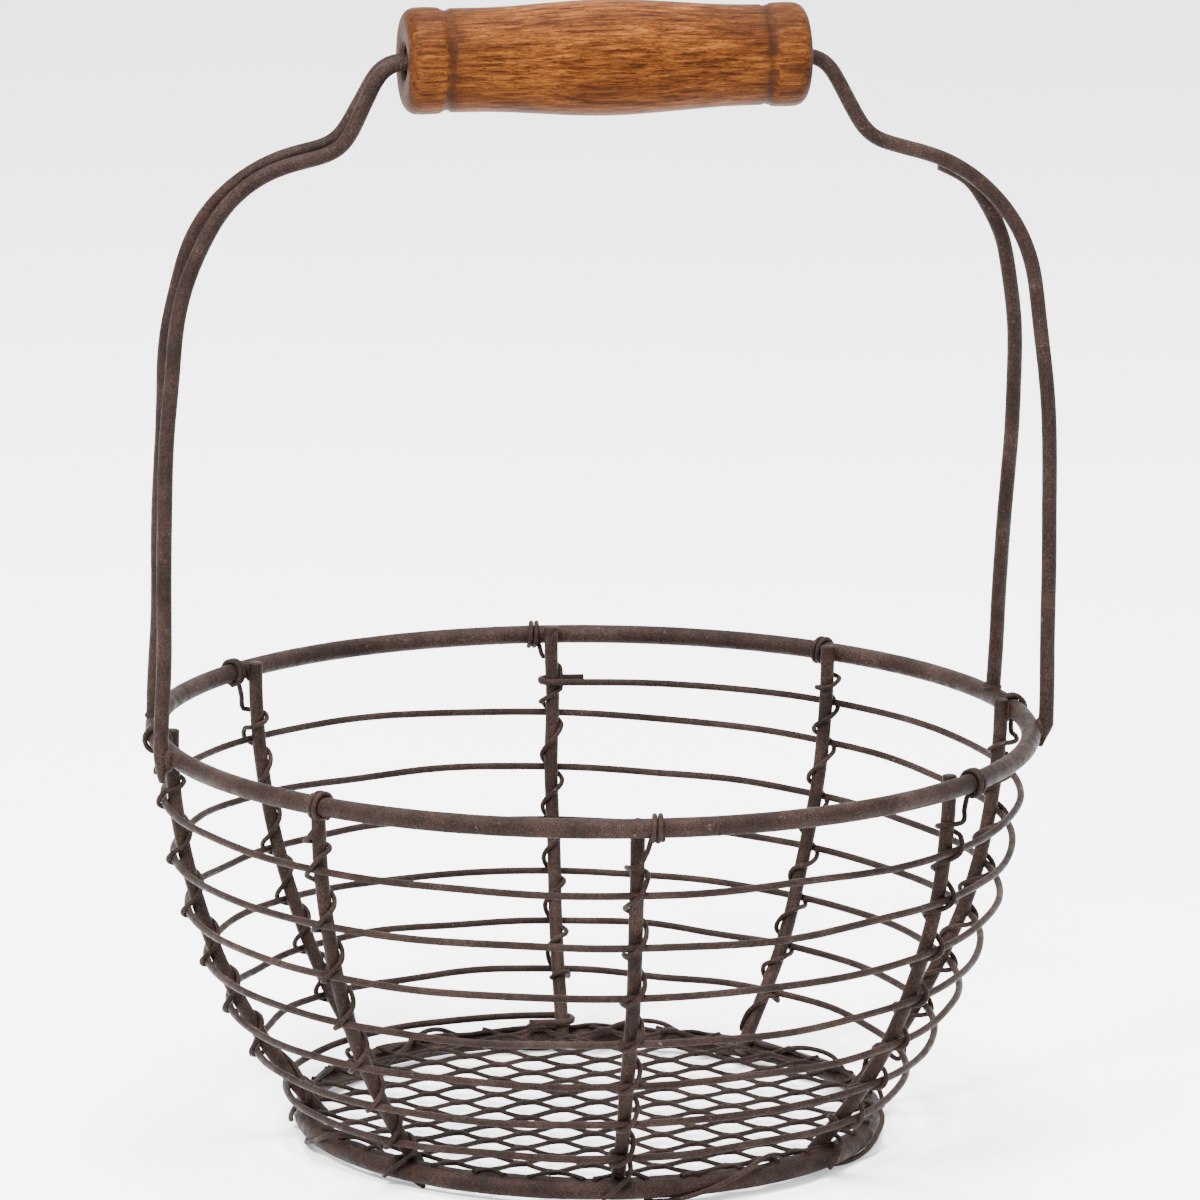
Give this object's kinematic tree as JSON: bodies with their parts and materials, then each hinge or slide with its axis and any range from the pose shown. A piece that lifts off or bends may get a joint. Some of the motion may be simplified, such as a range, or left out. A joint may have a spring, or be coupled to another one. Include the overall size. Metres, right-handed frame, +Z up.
{
  "type": "egg collection basket",
  "caption": "Round wire egg basket: bowl-shaped spiral wire wall on ribs, mesh floor, fixed wire handle with a loose turned wooden grip.",
  "frame": {"origin": "on the ground under the middle of the rim ring, at the underside of the wire wrapped round the base ring", "axes": "+Z up, X along the wooden grip and the handle's plane, +Y to the back, square to the handle"},
  "size_m": [0.2093, 0.2072, 0.2617],
  "materials": {
    "frame_wire": "rough, grainy brown powder coat",
    "thin_wire": "rough, grainy brown powder coat",
    "expanded_metal": "rough dark brown coat",
    "turned_wood": "stained and lacquered, darker at the ends"
  },
  "bodies": {
    "basket": {"rim_ring": "frame_wire", "base_ring": "frame_wire", "rib_1": "frame_wire", "rib_2": "frame_wire", "rib_3": "frame_wire", "rib_4": "frame_wire", "rib_5": "frame_wire", "rib_6": "frame_wire", "rib_7": "frame_wire", "rib_8": "frame_wire", "weave_wire": "thin_wire", "binding_1": "thin_wire", "binding_2": "thin_wire", "binding_3": "thin_wire", "binding_4": "thin_wire", "binding_5": "thin_wire", "binding_6": "thin_wire", "binding_7": "thin_wire", "binding_8": "thin_wire", "floor_mesh": "expanded_metal", "floor_lacing": "thin_wire", "bail_wire": "frame_wire", "bail_doubler": "frame_wire", "handle_brace": "frame_wire"},
    "grip": {"grip": "turned_wood"}
  },
  "joints": [
    {"name": "grip_spin", "type": "hinge", "parent": "basket", "child": "grip", "pos_m": [0.0015, 0, 0.2486], "axis": [1, 0, 0], "continuous": true}
  ]
}
